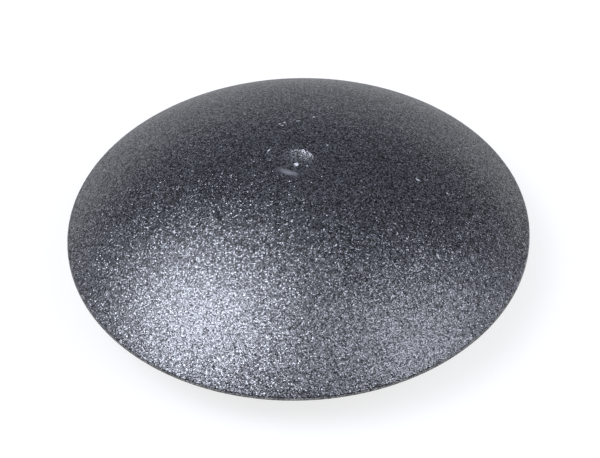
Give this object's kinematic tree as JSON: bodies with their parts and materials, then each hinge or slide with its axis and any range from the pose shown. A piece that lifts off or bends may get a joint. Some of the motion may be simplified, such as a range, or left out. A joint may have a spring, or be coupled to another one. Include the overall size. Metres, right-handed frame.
{
  "type": "hub dust cap",
  "caption": "Shallow domed plastic cap with a ring of snap fingers underneath; it presses into a wheel's centre bore and keeps dirt out of the hub.",
  "frame": {"origin": "centre of the plane of the finger tips, on the cap's axis", "axes": "+Z along the cap's axis, from the finger tips up to the crown of the dome"},
  "size_m": [0.07, 0.07, 0.0196],
  "materials": {
    "black_plastic": "moulded black plastic with a fine sparkling grain on the outer face and a plainer satin underside"
  },
  "bodies": {
    "root": {"dust_cap": "black_plastic"}
  },
  "joints": []
}
